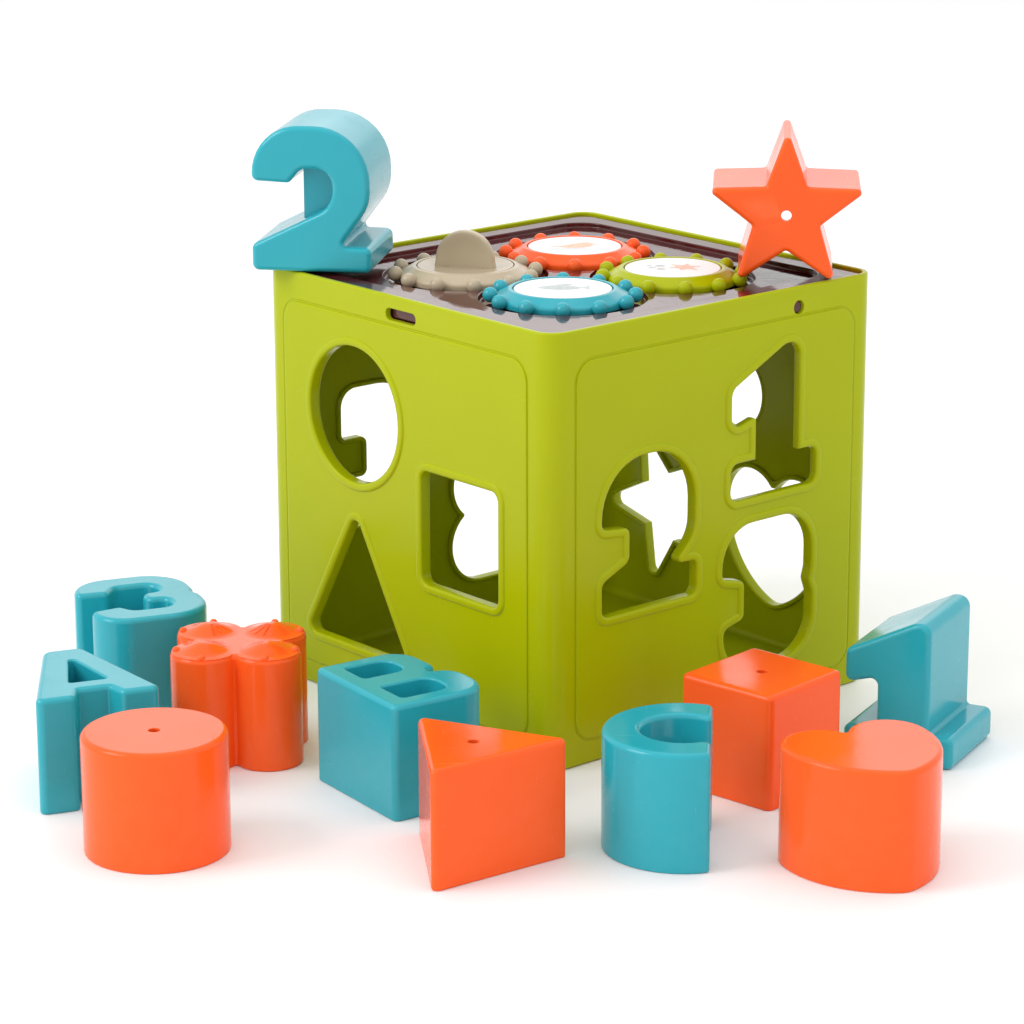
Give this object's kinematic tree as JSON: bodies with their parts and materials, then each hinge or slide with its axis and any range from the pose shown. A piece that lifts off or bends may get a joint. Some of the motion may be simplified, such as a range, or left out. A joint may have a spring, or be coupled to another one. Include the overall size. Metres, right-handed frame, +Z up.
{
  "type": "shape sorter",
  "caption": "Cube shape sorter toy with rimmed cut-outs in its walls, a pivoting lid with knobbed gears that turn together, and hollow blocks to post.",
  "frame": {"origin": "middle of the box's underside, on the surface that the toy stands on", "axes": "+Z up, -Y the wall with the latch slot, +X the wall with the numeral cut-outs"},
  "size_m": [0.3435, 0.3359, 0.2109],
  "materials": {
    "green": "glossy moulded yellow-green plastic",
    "plum": "very glossy dark plum moulded plastic",
    "taupe": "glossy taupe moulded plastic",
    "teal": "satin to glossy teal moulded plastic",
    "orange": "satin to glossy orange moulded plastic",
    "white": "satin white printed disc",
    "steel": "plain zinc-plated steel"
  },
  "bodies": {
    "box": {"box_body": "green"},
    "lid": {"lid_top": "plum", "hinge_pin_left": "plum", "hinge_pin_right": "plum", "screw_taupe": "steel", "screw_teal": "steel", "screw_orange": "steel", "screw_lime": "steel"},
    "latch": {"latch_tab": "plum"},
    "gear_taupe": {"gear_taupe": "taupe", "dial_grip": "taupe"},
    "gear_teal": {"gear_teal": "teal", "disc_teal": "white"},
    "gear_orange": {"gear_orange": "orange", "disc_orange": "white"},
    "gear_lime": {"gear_lime": "green", "disc_lime": "white"},
    "block_circle": {"block_circle": "orange"},
    "block_triangle": {"block_triangle": "orange"},
    "block_square": {"block_square": "orange"},
    "block_heart": {"block_heart": "orange"},
    "block_flower": {"block_flower": "orange"},
    "block_a": {"block_a": "teal"},
    "block_b": {"block_b": "teal"},
    "block_c": {"block_c": "teal"},
    "block_3": {"block_3": "teal"},
    "block_1": {"block_1": "teal"},
    "block_2": {"block_2": "teal"},
    "block_star": {"block_star": "orange"}
  },
  "joints": [
    {"name": "lid_hinge", "type": "hinge", "parent": "box", "child": "lid", "pos_m": [0, 0.0395, 0.1494], "axis": [-1, 0, 0], "range_deg": [0, 100]},
    {"name": "latch_press", "type": "slide", "parent": "lid", "child": "latch", "axis": [0, 1, 0], "range_m": [0, 0.0025], "stiffness_N_per_m": 400},
    {"name": "gear_taupe_spin", "type": "hinge", "parent": "lid", "child": "gear_taupe", "pos_m": [-0.027, -0.027, 0.155], "axis": [0, 0, 1], "continuous": true},
    {"name": "gear_teal_spin", "type": "hinge", "parent": "lid", "child": "gear_teal", "pos_m": [0.027, -0.027, 0.155], "axis": [0, 0, 1], "continuous": true},
    {"name": "gear_orange_spin", "type": "hinge", "parent": "lid", "child": "gear_orange", "pos_m": [-0.027, 0.027, 0.155], "axis": [0, 0, 1], "continuous": true},
    {"name": "gear_lime_spin", "type": "hinge", "parent": "lid", "child": "gear_lime", "pos_m": [0.027, 0.027, 0.155], "axis": [0, 0, 1], "continuous": true},
    {"name": "block_circle_lift", "type": "slide", "parent": "box", "child": "block_circle", "axis": [0, 0, 1], "range_m": [0, 0.1]},
    {"name": "block_triangle_lift", "type": "slide", "parent": "box", "child": "block_triangle", "axis": [0, 0, 1], "range_m": [0, 0.1]},
    {"name": "block_square_lift", "type": "slide", "parent": "box", "child": "block_square", "axis": [0, 0, 1], "range_m": [0, 0.1]},
    {"name": "block_heart_lift", "type": "slide", "parent": "box", "child": "block_heart", "axis": [0, 0, 1], "range_m": [0, 0.1]},
    {"name": "block_flower_lift", "type": "slide", "parent": "box", "child": "block_flower", "axis": [0, 0, 1], "range_m": [0, 0.1]},
    {"name": "block_a_lift", "type": "slide", "parent": "box", "child": "block_a", "axis": [0, 0, 1], "range_m": [0, 0.1]},
    {"name": "block_b_lift", "type": "slide", "parent": "box", "child": "block_b", "axis": [0, 0, 1], "range_m": [0, 0.1]},
    {"name": "block_c_lift", "type": "slide", "parent": "box", "child": "block_c", "axis": [0, 0, 1], "range_m": [0, 0.1]},
    {"name": "block_3_lift", "type": "slide", "parent": "box", "child": "block_3", "axis": [0, 0, 1], "range_m": [0, 0.1]},
    {"name": "block_1_lift", "type": "slide", "parent": "box", "child": "block_1", "axis": [0, 0, 1], "range_m": [0, 0.1]},
    {"name": "block_2_lift", "type": "slide", "parent": "box", "child": "block_2", "axis": [0, 0, 1], "range_m": [0, 0.22]},
    {"name": "block_star_lift", "type": "slide", "parent": "box", "child": "block_star", "axis": [0, 0, 1], "range_m": [0, 0.22]}
  ],
  "couplings": [
    {"joint": "gear_teal_spin", "follows": "gear_taupe_spin", "ratio": -1},
    {"joint": "gear_orange_spin", "follows": "gear_taupe_spin", "ratio": -1},
    {"joint": "gear_lime_spin", "follows": "gear_taupe_spin", "ratio": 1},
    {"joint": "block_2_lift", "follows": "lid_hinge", "m_per_rad": 0.12},
    {"joint": "block_star_lift", "follows": "lid_hinge", "m_per_rad": 0.12}
  ]
}
